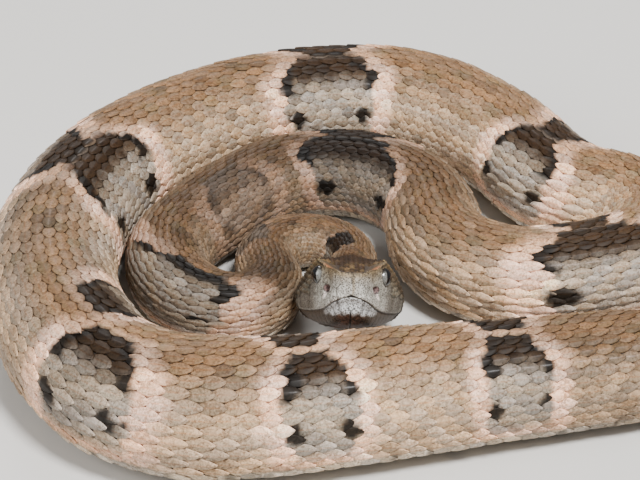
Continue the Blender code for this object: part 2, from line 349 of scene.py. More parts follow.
def near(u, t):
    """Distance of every head vertex from the place (u, t) on its own side."""
    v, w = on_side(u, t)
    return np.sqrt((head_u - u) ** 2 + (np.abs(head_v) - v) ** 2 + (head_w - w) ** 2)


mouth = fading(head_u, 32.0, 35.0)
mouth_line = hump(lip_level, -0.05, 0.21) * mouth
under_lip = between(-lip_level, 0.0, 0.22, 1.8, 5.5) * mouth
notch = fading(np.hypot(head_v / 1.5, (lip_level - 0.14) / 0.5), 0.7, 1.05) * (head_u < 2.0)
groove = hump(head_v, 0, 0.24) * (head_t < 3.0) * fading(head_w, FORK_UP - 0.1, FORK_UP + 0.2)
groove = groove * fading(head_u, 15.0, 17.0)
fork = hump(np.abs(head_v) - 1.2 * (head_w - FORK_UP), 0, 0.2)
fork = fork * (head_w > FORK_UP) * (head_w < FORK_UP + 1.0)
groove = np.maximum(groove, fork * (head_t < 3.0) * (head_u < 4.0))
nostril = near(*NOSTRIL)
brow_run = between(head_u, 9.5, 12.0, 18.5, 21.0)
canthus_run = between(head_u, 1.5, 3.0, 9.0, 12.0)
print("vertices in the mouth's line:", int((mouth_line > 0.5).sum()))

# %% How deep each fold is pressed, and how high each ridge is raised
push = -0.60 * mouth_line - 0.30 * under_lip - 0.9 * notch - 0.30 * groove
push += (0.07 * hump(plate_near, 0, 1.0) - 0.19 * seam) * plated
push += 0.12 * hump(nostril, 0.8, 0.25) - 0.8 * fading(nostril, 0.2, 0.55)
push -= 0.55 * hump(head_u, 7.4, 2.4) * hump(head_t, 5.7, 0.8)
push -= 0.40 * hump(head_u, 22.0, 5.0) * hump(head_t, 6.6, 0.9)
push += brow_run * (0.30 * hump(head_t, 7.5, 0.7) - 0.30 * hump(head_t, 6.5, 0.3))
push += 0.30 * hump(head_t, 7.2, 0.22) * canthus_run
print("deepest press:", round(float(push.min()), 2), "mm")


def grid_normals(points):
    """Directions across a grid of rings (rings, columns, 3) that closes round its columns."""
    along = np.gradient(points, axis=0)
    around = np.roll(points, -1, axis=1) - np.roll(points, 1, axis=1)
    out = np.cross(around, along)
    return out / np.maximum(np.linalg.norm(out, axis=2, keepdims=True), 1e-9)


flat = np.stack([head_u, head_v, head_w], -1)
flat = flat + grid_normals(flat) * (push - HEAD_SUNK)[..., None]

# %% [markdown]
# A pit viper senses warmth with a pit between eye and nostril. It opens forwards, so it is a hollow that
# deepens towards the back and ends in a steep wall, and the wall's middle is where the dark round opening
# is seen.

# %% The heat pits
PIT, PIT_FRONT, PIT_REACH, PIT_DEEP, PIT_BACK = (9.0, 5.02), 3.8, 1.2, 1.9, 1.2
PIT_INWARD, PIT_ROUND, NO_PIT = 0.85, 1.12, 9.0
pit_v, pit_w = on_side(*PIT)
behind_pit, level_with_pit = head_u - PIT[0], (flat[..., 2] - pit_w) / PIT_REACH
hollow = np.where(behind_pit < 0, smooth(behind_pit, -PIT_FRONT, 0), fading(behind_pit, 0, PIT_BACK))
hollow = hollow * fading(np.abs(level_with_pit), 0.45, 1.0) * (np.abs(head_t - PIT[1]) < 1.6)
flat = flat - grid_normals(flat) * (PIT_DEEP * hollow)[..., None]
pit_across = (np.abs(flat[..., 1]) - (pit_v - PIT_INWARD)) / PIT_ROUND
from_front = np.hypot(pit_across, (flat[..., 2] - pit_w) / PIT_ROUND)
at_pit = (behind_pit > -1.2) & (behind_pit < 2.2) & (head_t > 3.4) & (head_t < 6.6)
pit = np.where(at_pit, from_front, NO_PIT)
print("pits:", int((pit < 1).sum()), "vertices")

# %% [markdown]
# Each eye looks out through a round opening with a thin raised rim. Round the eye's centre, the skin inside
# the opening is drawn in behind the ball, and the skin just outside it is held a little above the ball.

# %% The openings of the eyes
EYE_WAY = np.array([-0.52, 0.85, 0.04]) / np.linalg.norm([-0.52, 0.85, 0.04])
GAZE = np.array([-0.60, 0.80, 0.04]) / np.linalg.norm([-0.60, 0.80, 0.04])
OPENING_WIDE, OPENING_HIGH, RIM_HIGH, BEHIND_EYE = 2.45, 2.75, 0.18, 0.5
for hand in (1, -1):
    centre = np.array([EYE_BACK, hand * EYE_OUT, EYE_UP])
    axis = EYE_WAY * np.array([1, hand, 1])
    ray = flat - centre
    reach = np.linalg.norm(ray, axis=2)
    depth = ray @ axis
    level = ray - depth[..., None] * axis
    wide = (level[..., 0] ** 2 + level[..., 1] ** 2) / OPENING_WIDE**2
    across = np.sqrt(wide + (level[..., 2] / OPENING_HIGH) ** 2)
    opening = fading(across, 0.94, 1.08) * (depth > 0)
    lifted = np.where((across < 1.4) & (depth > 0), np.maximum(reach, EYE_RADIUS + RIM_HIGH), reach)
    wanted = lifted * (1 - opening) + (EYE_RADIUS - BEHIND_EYE) * opening
    flat = centre + ray * (wanted / np.maximum(reach, 1e-6))[..., None]
    print("opening of", int((opening > 0.5).sum()), "vertices")

# %% [markdown]
# One skin covers head and body, so no seam shows. The head's last ring turns into the body's first one, and
# the dense rings of the head are halved twice behind it, with three triangles for each pair of gaps.

# %% Rings of the body's skin
BODY_SUNK, BODY_STEP, BODY_COLUMNS = 0.5, 2.0, COLUMNS // 4
head_places = turn_head(*np.moveaxis(flat, 2, 0))
even_turn = math.pi + 2 * math.pi * np.linspace(0, 1, COLUMNS, endpoint=False)
last = head_places[-1] - HEAD_JOINT
joint_turn = np.unwrap(np.arctan2(-last[:, 0], last @ UPWARD))
joint_turn += 2 * math.pi * np.round((even_turn[0] - joint_turn[0]) / (2 * math.pi))


def ring_turns(s, columns):
    """Where a ring's vertices stand round the body; near the head they stand where its columns end."""
    k = float(smooth(s, 0.0, 24.0))
    return (joint_turn * (1 - k) + even_turn * k)[:: COLUMNS // columns]


def skin_sunk(s):
    """How far the skin lies inside the solid at s; at the neck it rises to meet the skin of the head."""
    return HEAD_SUNK - 0.2 + (BODY_SUNK - HEAD_SUNK + 0.2) * smooth(s, 0.0, 12.0)


def body_ring(s, columns):
    turn = ring_turns(s, columns)
    return body_place(np.full(columns, float(s)), turn, float(skin_sunk(s)))[0]


first = body_ring(0.0, COLUMNS)
k = smooth(head_u, 40.0, HEAD_END)[..., None]
head_places = head_places * (1 - k) + k * (first[None] + FORWARD * (HEAD_END - head_u)[..., None])
rings = [(ring_here, COLUMNS, None) for ring_here in head_places]
far = np.concatenate([np.arange(20.0, LENGTH - 1.0, BODY_STEP), [LENGTH - 0.6]])
for distances, count in ((np.arange(1.0, 12.0, 1.0), COLUMNS), (np.arange(12.0, 20.0, 1.5), COLUMNS // 2),
                         (far, BODY_COLUMNS)):
    rings += [(body_ring(s, count), count, s) for s in distances]
print("rings of skin:", len(rings))


# %% Faces of the skin
def tube_faces(counts):
    """Faces of a closed tube: a tip, rings whose counts of vertices stay or halve, and another tip."""
    starts = np.cumsum([1, *counts]).tolist()
    faces = [(0, 1 + k, 1 + (k + 1) % counts[0]) for k in range(counts[0])]
    for a, b, count, following in zip(starts, starts[1:], counts, counts[1:]):
        for k in range(following):
            j = (k + 1) % following
            if count == following:
                faces.append((a + k, b + k, b + j, a + j))
            else:
                left, mid, right = a + 2 * k, a + 2 * k + 1, a + (2 * k + 2) % count
                faces += [(left, b + k, mid), (mid, b + k, b + j), (mid, b + j, right)]
    ring, end = starts[-2:]
    return faces + [(end, ring + (k + 1) % counts[-1], ring + k) for k in range(counts[-1])]


FLOOR_GAP = 0.05
faces = tube_faces([count for _, count, _ in rings])
verts = np.concatenate([[head_places[0].mean(axis=0)], *[r for r, _, _ in rings],
                        [rings[-1][0].mean(axis=0)]])
verts = verts + SHIFT
verts[:, 2] = np.maximum(verts[:, 2], FLOOR_GAP)
print(len(verts), "skin vertices,", sum(len(f) - 2 for f in faces), "triangles")

# %% [markdown]
# The markings are one function of the place on the body: how far along it, and how far round from the
# back's middle to the edge of the belly. Skin and scales both ask it, so they always agree. On this viper
# each side has its own row of pale-edged blotches, dark brown above and grey below, with black at their
# corners.

# %% The blotches: place on the flank, half length and place on the back, in mm along the body
BELLY_TURN = math.radians(130)
TAIL_BLOTCHES = ((893, 9), (938, 8), (975, 7), (1005, 6), (1032, 5.5), (1056, 4.5))
LEFT_BLOTCHES = (
    (16.5, 5, 16.5), (104, 16, 96), (199, 12, 199), (303, 11, 303), (382, 10.5, 382), (472, 18, 471),
    (574, 20.5, 571), (657, 13, 657), (728, 9.5, 728), (787.5, 9, 787.5), (842, 9, 842),
    *((at, half, at) for at, half in TAIL_BLOTCHES),
)
RIGHT_BLOTCHES = (
    (50, 5, 50), (150, 13, 150), (209, 23, 199), (309, 20, 305), (381, 11, 381), (471, 13, 471),
    (572, 14, 572), (677, 11.5, 677), (731.5, 9.5, 731.5), (788, 9.5, 788), (843, 9.5, 843),
    *((at + 1, half, at + 1) for at, half in TAIL_BLOTCHES),
)
FAINT_BLOTCH, NECK_BLOTCH, FIRST_TO, NECK_TO, APART_FROM = 150.0, 50.0, 60.0, 145.0, 640.0
print("blotches:", len(LEFT_BLOTCHES), "on the left and", len(RIGHT_BLOTCHES), "on the right")

# %% Shades of the body, and how dark it is along its length: partly its own tone, partly painted shade
SHADES = {
    "taupe": (0.212, 0.120, 0.063), "taupe low": (0.51, 0.362, 0.248), "pale": (1.0, 0.635, 0.465),
    "brown": (0.028, 0.014, 0.0055), "grey": (0.355, 0.290, 0.238), "black": (0.008, 0.005, 0.003),
    "belly": (0.62, 0.53, 0.44), "fleck": (0.08, 0.068, 0.055), "olive": (0.16, 0.115, 0.060),
}
# Darkening along the body, at mm along it: partly the body's own darker fore part, partly painted shade on
# the inner coils. Where the painted shade is deeper it is also made a little warmer.
TONE_AND_SHADE_ALONG = np.array((
    (0, 0.40), (30, 0.50), (60, 0.47), (100, 0.50), (135, 0.33), (175, 0.33), (200, 0.38), (240, 0.47),
    (275, 0.86), (300, 1.02), (370, 0.98), (430, 0.98), (520, 0.88), (600, 0.76), (650, 0.76), (700, 0.88),
    (720, 0.97), (770, 1.00), (815, 0.60), (900, 0.85),
)).T
TONE_AND_SHADE_WARMS, ASHEN = np.array([1.0, 1.02, 1.04]), np.array([0.03, 0.12, 0.26])


def painted(colour, *coats):
    """The colour with coats laid over it, each a named shade and an amount between 0 and 1."""
    for name, amount in coats:
        colour = colour + (np.array(SHADES[name]) - colour) * np.clip(amount, 0, 1)[..., None]
    return colour


def bumpy(s, q, step, seed):
    """A soft irregular value between about -1 and 1 with waves of the given length in mm."""
    a = np.sin(s / step * 2.1 + 3.0 * q + seed) + np.sin(s / step * 3.7 - 9.0 * q + 2.3 * seed)
    return 0.5 * a * np.cos(s / step * 0.9 + 14.0 * q + 1.7 * seed)


def ground(s, q):
    """The body's colour between its blotches: darker on the back, paler low on the flanks, with painted shade
    on the hook.
    """
    low = np.abs(q)
    colour = painted(np.array(SHADES["taupe"]) + 0 * s[..., None], ("taupe low", smooth(low, 0.08, 0.58)),
                     ("olive", 0.5 * smooth(bumpy(s, q, 7.0, 3.0), 0.05, 0.6) * fading(low, 0.2, 0.6)))
    colour = colour * (1 + 0.10 * bumpy(s, q, 9.0, 1.0))[..., None]
    # Painted shade: the back of the hook behind the neck, about 71 mm along, is darkened.
    colour = colour * (1 - 0.56 * hump(s, 71.0, 14.0) * fading(low, 0.25, 0.70))[..., None]
    ashen = hump(s, 615.0, 45.0) * fading(low, 0.3, 0.7)
    return colour * (1 + ashen[..., None] * ASHEN)


print("shades:", len(SHADES))


# %% One side's blotches
def blotched(colour, s, q, side, blotches):
    """The colour with one row of blotches; side is q counted so that it grows towards the row's own side."""
    low = np.abs(q)
    bases, halves, tops = np.array(blotches).T
    which = np.abs(s[..., None] - (bases + tops) / 2).argmin(axis=-1)
    base, half_length, top_at = bases[which], halves[which], tops[which]
    at_first, on_neck = base < FIRST_TO, base < NECK_TO
    centre = top_at + (base - top_at) * smooth(side, 0.05, 0.5)
    faint = np.where(base == FAINT_BLOTCH, 0.5, np.where(base == NECK_BLOTCH, 0.55, 1.0))
    rough = 0.9 * bumpy(s, q, 4.0, base) + 0.7 * bumpy(s, q, 1.7, 2.0 + base)
    rough_low = low + 0.03 * rough
    above_edge = side - (np.where(base > APART_FROM, 0.03, -0.03) + 0.012 * rough)
    here = smooth(above_edge, -0.02, 0.02)
    reach = half_length * (0.55 + 0.45 * smooth(side, 0.0, 0.28)) * (1 - 0.12 * smooth(low, 0.62, 0.8))
    out = np.abs(s - centre) - reach + rough
    rim = np.clip(0.75 * half_length, 3.0, 10.5)
    band = smooth(side, -0.06, 0.08) * fading(out, 0.45 * rim, rim) * fading(low, 0.82, 0.9) * faint
    band = band * np.where(at_first, 0.3, 1.0)
    inside = here * fading(out, -0.5, 0.4) * fading(low, 0.74, 0.86) * faint
    brown_to = np.where(at_first, 0.60, np.where(on_neck, 0.26, 0.44))
    thick = np.minimum(4.6, 0.34 * half_length) * (0.8 + 0.5 * bumpy(s, q, 6.0, 5.0 + base))
    flank = smooth(out, -thick - 0.8, -thick + 0.4) * smooth(low, 0.08, 0.14) * fading(rough_low, 0.36, 0.42)
    edge_to = np.where(on_neck, 0.17, 0.10)
    edge = np.where(at_first, 0.4, np.where(on_neck, 0.95, 0.65)) * smooth(side, -0.03, 0.0)
    edge = edge * fading(above_edge, edge_to - 0.05, edge_to)
    foot_along = (out + 0.25 * half_length) / np.maximum(1.8, 0.22 * half_length)
    foot = np.hypot(foot_along, (low - 0.60) / 0.085) / np.where(on_neck, 0.5, 1.0)
    return painted(colour, ("pale", band * (0.35 + 0.60 * smooth(low, 0.06, 0.35))), ("grey", inside),
                   ("brown", inside * fading(rough_low, brown_to - 0.24, brown_to)),
                   ("black", 0.97 * inside * np.maximum(flank, edge)),
                   ("black", 0.97 * here * faint * fading(foot + 0.3 * rough, 0.75, 1.05)))


# %% All the markings of the body
def markings(s, q):
    """Colour at s mm along the body and q round it: 0 on the back's middle, 1 and -1 on the belly's edges."""
    s, q = np.asarray(s, float), np.asarray(q, float)
    low = np.abs(q)
    colour = ground(s, q)
    for hand, blotches in ((1, LEFT_BLOTCHES), (-1, RIGHT_BLOTCHES)):
        colour = blotched(colour, s, q, q * hand, blotches)
    fleck = smooth(bumpy(s, q, 2.6, 4.0), 0.25, 0.5) * smooth(low, 0.82, 0.9)
    colour = painted(colour, ("belly", smooth(low, 0.86, 0.93)), ("fleck", 0.75 * fleck))
    # Darkening along the body: its own darker fore part and painted shade on the inner coils.
    return colour * np.interp(s, *TONE_AND_SHADE_ALONG)[..., None] ** TONE_AND_SHADE_WARMS


print("colour of the back at 400 mm:", markings(400.0, 0.0).round(3))

# %% [markdown]
# The head has its own scheme: a dark brown crown, a pale and densely dusted face and lower jaw, a dark
# stripe that runs back from the eye, and olive brown jowls. It is painted in coats, the later ones over the
# earlier ones.

# %% Markings of the head
# The throat and the jaw's sides are painted shade under the head, dark brown with a reddish painted
# reflection. The shade named hollow is painted shade in the pits, nostrils and folds and under the brow.
SHADES.update({
    "crown": (0.033, 0.017, 0.009), "crown light": (0.17, 0.108, 0.052), "face": (0.36, 0.335, 0.29),
    "jowl": (0.115, 0.100, 0.078), "jowl light": (0.26, 0.245, 0.21), "stripe": (0.036, 0.025, 0.016),
    "lip": (0.46, 0.435, 0.385), "jaw": (0.40, 0.395, 0.38), "jaw side in painted shade": (0.058, 0.040, 0.026),
    "throat in painted shade": (0.100, 0.050, 0.031), "pit": (0.135, 0.075, 0.068), "hollow": (0.006, 0.004, 0.003),
    "freckle": (0.030, 0.022, 0.016), "canthus": (0.20, 0.135, 0.058), "pit patch": (0.90, 0.77, 0.70),
    "face side": (0.24, 0.235, 0.185), "rust": (0.46, 0.15, 0.045),
})


def head_markings(u, t, v, w):
    """Colour of the head u mm back from the snout, at outline place t, v to the side and w up."""
    back, high, crown = smooth(u, 12.0, 18.0), smooth(t, 4.0, 5.0), smooth(t, 7.3, 7.8)
    streak = 0.5 + 0.5 * np.sin(1.15 * u + 1.4 * np.sin(0.9 * t + 0.5 * u))
    under_crown = w - head_at(u, CROWN_UP)
    broken = np.sin(2.6 * v + 1.3 * np.sin(1.9 * u)) * np.sin(3.4 * u + 1.7 * np.sin(1.6 * v + 1.0))
    stripe_at = 6.3 - 1.5 * smooth(u, 17.0, 36.0)
    stripe = hump(t, stripe_at, 0.5 + 0.35 * smooth(u, 18, 34)) * smooth(u, 15.5, 18.5)
    # The head's underside is painted in shade: dark reddish brown below, darker still on the jaw's sides.
    return painted(
        np.array(SHADES["throat in painted shade"]) + 0 * u[..., None],
        ("jaw side in painted shade", smooth(t, 0.9, 1.5) * smooth(u, 1.5, 5.0)),
        ("jaw", fading(u, 6.0, 11.0) * smooth(w + 0.07 * u + 0.25 * np.sin(2.2 * v), -8.0, -7.2)),
        ("lip", smooth(t, 2.9, 3.1)),
        ("face", smooth(t, 4.0, 4.6)),
        ("face side", 0.45 * hump(u, 10.0, 5.0) * smooth(t, 3.2, 3.8)),
        ("jowl", back * smooth(t, 2.9, 3.3)),
        ("jowl light", 0.40 * back * streak * between(t, 2.9, 3.6, 5.0, 6.0)),
        ("canthus", 0.85 * hump(t, 7.05, 0.75) * smooth(u, 1.0, 4.0)),
        ("canthus", 0.75 * smooth(under_crown, -1.9, -0.7) * fading(u, 1.5, 4.0) * high),
        ("canthus", 0.38 * smooth(under_crown, -4.6, -1.4) * fading(u, 6.0, 12.0) * high),
        ("canthus", 0.35 * hump(t, 6.4, 0.7) * smooth(u, 2.0, 8.0)),
        ("crown", crown * smooth(u, 0.2, 1.4)),
        ("canthus", 0.62 * hump(t, 7.8, 0.75) * between(u, 3.0, 8.0, 19.0, 23.0)),
        ("canthus", 0.55 * smooth(broken, 0.25, 0.6) * crown * fading(u, 12.0, 26.0)),
        ("rust", 0.80 * hump(np.abs(v), 6.8, 1.6) * hump(u, 10.5, 2.5) * smooth(t, 6.8, 7.3)),
        ("stripe", 0.85 * stripe * fading(u, 40.0, 47.0)))


print("shades with the head's:", len(SHADES))


# %% Dust, seams, the pits' colour, and painted shade under the brow and in pits, nostrils and folds
def place_turn(turn):
    """The q of a turn round the body."""
    return (np.mod(turn + math.pi, 2 * math.pi) - math.pi) / BELLY_TURN


blend = smooth(head_u, 44.0, 50.0)[..., None]
nape_tint = markings(0 * head_u, place_turn(joint_turn)[None] + 0 * head_u)
head_tint = head_markings(head_u, head_t, head_v, head_w) * (1 - blend) + blend * nape_tint
dust = np.sin(head_u * 5.1 + 2 * np.sin(head_w * 3.3))
dust = dust * np.sin(head_w * 6.3 + head_v * 4.1 + np.sin(head_u * 3.0))
# A painted shadow under the brow's ridge, over the eye.
shade_line = hump(head_t, 6.85, 0.16) * between(head_u, 10.5, 12.5, 18.0, 20.0)
mouth_paint = 0.9 * mouth_line * (1 - 0.55 * smooth(head_u, 9.0, 18.0))
seam_paint = (0.30 + (0.15 + 0.35 * (lip_level < 0)) * fading(head_u, 6.0, 10.0)) * seam * plated
# The hollow coats are painted shade: under the brow, deep in the pits and round their rims, in the nostrils,
# along the mouth's line, in the tongue's notch and in the chin's groove.
head_tint = painted(
    head_tint,
    ("freckle", (0.50 + 0.30 * brows) * smooth(dust + 0.35 * brows, 0.25, 0.70)),
    ("hollow", 0.85 * shade_line),
    ("pit patch", 0.85 * fading(near(PIT[0] - 0.6, PIT[1] - 0.5), 0.7, 1.8)),
    ("pit", fading(pit, 0.9, 1.05)),
    ("hollow", 0.6 * hump(pit, 0.95, 0.12)),
    ("hollow", np.maximum(0.35 * fading(pit, 0.1, 0.7), fading(nostril, 0.3, 0.6))),
    ("hollow", np.maximum(mouth_paint, np.maximum(notch, 0.95 * groove))),
    ("freckle", seam_paint))
print("mean colour of the head:", head_tint.mean(axis=(0, 1)).round(3))

# %% Colours of the whole skin, in the order of its vertices
tints, bare = [head_tint[:1, 0], head_tint.reshape(-1, 3)], [np.ones(1), plated.reshape(-1)]
for _, count, s in rings[len(head_u):]:
    tints.append(markings(np.full(count, float(s)), place_turn(ring_turns(s, count))))
    bare.append(np.zeros(count))
tints, bare = np.concatenate([*tints, tints[-1][:1]]), np.concatenate([*bare, np.zeros(1)])
print("tints", tints.shape, "mean", tints.mean(axis=0).round(3))

# %% [markdown]
# A mesh made from arrays is quick, and its attributes carry colour and other facts to the material. They
# export with the mesh, whereas a painted image would need a file.

# %% Make meshes from arrays
# By how many numbers a point has: the kind of attribute, and the field that holds them.
KINDS = {1: ("FLOAT", "value"), 3: ("FLOAT_VECTOR", "vector"), 4: ("FLOAT_COLOR", "color")}


def new_mesh(name, places_mm, faces, **facts):
    """An object at the origin whose mesh has the faces, and the facts as attributes of its points."""
    mesh = bpy.data.meshes.new(name)
    mesh.from_pydata((np.asarray(places_mm) * MM).tolist(), [], faces)
    for label, values in facts.items():
        values = np.asarray(values, dtype=np.float32)
        kind, field = KINDS[values.size // len(places_mm)]
        mesh.attributes.new(label, kind, "POINT").data.foreach_set(field, values.ravel())
    mesh.shade_smooth()
    thing = bpy.data.objects.new(name, mesh)
    bpy.context.scene.collection.objects.link(thing)
    return thing


def with_alpha(colour):
    return np.concatenate([np.clip(colour, 0, 1), np.ones(colour.shape[:-1] + (1,))], axis=-1)


skin = new_mesh("skin", verts, faces, Tint=with_alpha(tints), Bare=bare)
print("skin box:", [tuple(round(x, 4) for x in c) for c in (verts.min(axis=0) * MM, verts.max(axis=0) * MM)])

# %% [markdown]
# Shader maths reads best as plain expressions. This small class wraps a socket, so sums and products of
# sockets add their own Math nodes, and one method adds every other kind of node, in shader and geometry
# trees alike.

# %% A socket that can be used in expressions
class Wire:
    """One output of a node tree."""

    def __init__(self, tree, socket=None):
        self.tree, self.socket = tree, socket

    def node(self, kind, settings=None, out=0, **sockets):
        """Adds a node, sets its settings first and then the values or links of its sockets."""
        new = self.tree.nodes.new(kind)
        for name, value in (settings or {}).items():
            setattr(new, name, value)
        for name, value in sockets.items():
            key = int(name[1:]) if name[1:].isdigit() else name.replace("_", " ")
            if isinstance(value, Wire):
                self.tree.links.new(value.socket, new.inputs[key])
            else:
                new.inputs[key].default_value = value
        return Wire(self.tree, new.outputs[out] if len(new.outputs) else None)

    def other(self, out):
        """Another output of the same node."""
        return Wire(self.tree, self.socket.node.outputs[out])

    def maths(self, operation, *values):
        numbered = {f"i{i}": value for i, value in enumerate(values)}
        return self.node("ShaderNodeMath", {"operation": operation}, **numbered)

    def mix(self, other, amount):
        """This colour with the other one laid over it by the amount."""
        settings = {"data_type": "RGBA", "clamp_factor": True}
        return self.node("ShaderNodeMix", settings, out=2, i0=amount, i6=self, i7=other)

    def times(self, *other):
        """This colour with its red, green and blue multiplied."""
        settings = {"data_type": "RGBA", "blend_type": "MULTIPLY"}
        return self.node("ShaderNodeMix", settings, out=2, i0=1.0, i6=self, i7=(*other, 1.0))

    def step(self, start, end):
        """0 before the start, 1 after the end and a soft step between."""
        settings = {"interpolation_type": "SMOOTHSTEP"}
        return self.node("ShaderNodeMapRange", settings, Value=self, From_Min=start, From_Max=end)

    def __add__(self, other):
        return self.maths("ADD", self, other)

    def __sub__(self, other):
        return self.maths("SUBTRACT", self, other)

    def __rsub__(self, other):
        return self.maths("SUBTRACT", other, self)

    def __mul__(self, other):
        return self.maths("MULTIPLY", self, other)

    def __abs__(self):
        return self.maths("ABSOLUTE", self)

    def __pow__(self, other):
        return self.maths("POWER", self, other)

    __radd__, __rmul__ = __add__, __mul__


# %% A finish, and what its colour depends on
def new_finish(name, **fixed):
    """A material, its Principled shader with the fixed sockets set, and a Wire into its tree."""
    material = bpy.data.materials.new(name)
    material.use_nodes = True
    shader = material.node_tree.nodes["Principled BSDF"]
    for socket, value in fixed.items():
        shader.inputs[socket.replace("_", " ")].default_value = value
    return material, shader, Wire(material.node_tree)


def feed(shader, **sockets):
    for name, value in sockets.items():
        value.tree.links.new(value.socket, shader.inputs[name.replace("_", " ")])


def attribute(wire, name, out=0):
    """A fact that the mesh carries: output 0 is a colour, 1 a vector and 2 a number."""
    return wire.node("ShaderNodeAttribute", {"attribute_name": name}, out=out)


def noise(wire, vector, scale, detail, roughness=0.5):
    return wire.node("ShaderNodeTexNoise", Vector=vector, Scale=scale, Detail=detail, Roughness=roughness)


# %% [markdown]
# A viper's scale is dry horn: matt, with a pale thick rim, a darker middle and a raised keel that catches
# an orange brown. The material reads the colour of each scale and the place on it, so one finish serves
# thousands of scales. Each stain multiplies the scale's own colour, so it suits dark scales and pale ones.

# %% Finishes of scales and belly
def scale_finish(name, keel):
    material, shader, wire = new_finish(name, Specular_IOR_Level=0.16)
    tint, local = attribute(wire, "Tint"), attribute(wire, "Local", out=1)
    along = wire.node("ShaderNodeSeparateXYZ", Vector=local)
    across = along.other(1)
    place = wire.node("ShaderNodeTexCoord", out=3)
    grain = noise(wire, place, 1500.0, 5.0, 0.7)
    patch = noise(wire, place, 260.0, 3.0)
    mottle = noise(wire, place, 640.0, 4.0, 0.65)
    rim = ((abs(across) * 2.0) ** 6.0 + (abs(along - 0.5) * 2.0) ** 7.0).step(0.35, 0.90)
    tip = along.step(0.55, 0.92) * mottle.step(0.38, 0.58)
    lower = (across * 2.0).step(-0.1, 0.7)
    ridge = (1 - (abs(across) * 9.0).step(0.0, 1.0)) * (1 - (abs(along - 0.50) * 2.0).step(0.45, 0.85)) * keel
    shade = tint.times(0.93, 0.98, 0.93)
    for stain, amount in (
            ((0.98, 0.86, 0.70), lower * 0.6 * keel),
            ((0.98, 0.60, 0.34), ridge * 0.62),
            ((0.62, 0.50, 0.38), (1 - mottle.step(0.38, 0.50)) * 0.75),
            ((1.50, 1.46, 1.42), tip * 0.6),
            ((0.42, 0.39, 0.35), grain.step(0.52, 0.60) * 0.78),
            ((1.42, 1.42, 1.40), (1 - grain.step(0.38, 0.48)) * 0.75),
            ((1.22, 1.20, 1.16), patch.step(0.52, 0.70) * 0.5),
            ((1.55, 1.55, 1.52), rim * 0.7)):
        shade = shade.mix(tint.times(*stain), amount)
    bump = wire.node("ShaderNodeBump", Strength=0.35, Distance=0.00006, Height=grain)
    feed(shader, Base_Color=shade, Roughness=0.62 - 0.22 * ridge - 0.15 * grain, Normal=bump)
    print(name, "has", len(material.node_tree.nodes), "nodes")
    return material


keeled_scale = scale_finish("Keeled scale", 1.0)
smooth_scale = scale_finish("Smooth scale", 0.25)

# %% [markdown]
# Between the scales the skin is dark and soft. On the plates of the face it is pale horn, finely stippled,
# and the attribute Bare tells the finish where that is.

# %% Finish of the skin
skin_finish, shader, wire = new_finish("Skin between scales", Specular_IOR_Level=0.4)
tint, plate = attribute(wire, "Tint"), attribute(wire, "Bare", out=2)
place = wire.node("ShaderNodeTexCoord", out=3)
grain = noise(wire, place, 2300.0, 5.0, 0.7)
cloud = noise(wire, place, 420.0, 2.0)
dots = wire.node("ShaderNodeTexVoronoi", Vector=place, Scale=2150.0, Randomness=1.0)
stipple = (1 - dots.step(0.36, 0.50)) * cloud.step(0.20, 0.42)
horn = tint.times(1.22, 1.24, 1.26).mix(tint.times(0.17, 0.145, 0.125), stipple * 0.88)
bump = wire.node("ShaderNodeBump", Strength=0.4, Distance=0.00008, Height=grain)
shade = tint.times(0.40, 0.37, 0.34).mix(horn, plate)
feed(shader, Base_Color=shade, Roughness=0.48 + 0.25 * grain, Normal=bump)
skin.data.materials.append(skin_finish)
print(skin_finish.name, "has", len(skin_finish.node_tree.nodes), "nodes")

# %% [markdown]
# Every scale is the same small tile, thick at the rim and ridged along the middle. Its root lies at x = 0
# and its free tip at x = 1. A few dozen faces are enough, because there are thousands of them.

# %% The shape of one scale
ALONG_SCALE = (0.0, 0.08, 0.28, 0.52, 0.76, 0.94, 1.0)
ACROSS_SCALE = (-1.0, -0.82, -0.3, 0.0, 0.3, 0.82, 1.0)
WIDEST, END_WIDE, RIM_THICK, DOMED = 0.42, 0.06, 0.50, 0.32


def scale_shape(name, ridge):
    """One scale, 1 long and 1 wide, as a tile object with its own place on it as the attribute Local."""
    places, local = [], []
    for x in ALONG_SCALE:
        length, bluntness = (1 - WIDEST, 0.85) if x > WIDEST else (WIDEST, 0.5)
        wide = 0.5 * (1 - ((x - WIDEST) / length) ** 2) ** bluntness if 0 < x < 1 else END_WIDE
        for y in ACROSS_SCALE:
            edge = abs(y) > 0.9 or x in (0.0, 1.0)
            crown = 0.0 if edge else RIM_THICK + DOMED * (1 - y * y) + ridge * (y == 0.0)
            places.append((x, y * wide, crown * (0.55 + 0.45 * smooth(x, 0.0, 0.5))))
            local.append((x, y * 0.5, 0.0))
    n, rows = len(ACROSS_SCALE), len(ALONG_SCALE)
    faces = [(a, a + n, a + n + 1, a + 1) for i in range(rows - 1) for a in range(i * n, i * n + n - 1)]
    rim = list(range(n)) + [i * n + n - 1 for i in range(1, rows)]
    rim += [(rows - 1) * n + j for j in range(n - 2, -1, -1)] + [i * n for i in range(rows - 2, 0, -1)]
    faces.append(tuple(rim))
    return new_mesh(name, np.array(places) / MM, faces, Local=local)


keeled_tile = scale_shape("keeled tile", 0.55)
plain_tile = scale_shape("plain tile", 0.12)
print("faces of one scale:", len(keeled_tile.data.polygons))

# %% [markdown]
# Scales overlap like roof tiles, with their free ends towards the tail, in rows that shift by half a scale.
# The rows are worked out as points with a turn, a size and a colour each. Geometry Nodes then stand a tile
# on every point, which keeps thousands of copies in one short tree. The instances are realized, because an
# export would drop them.

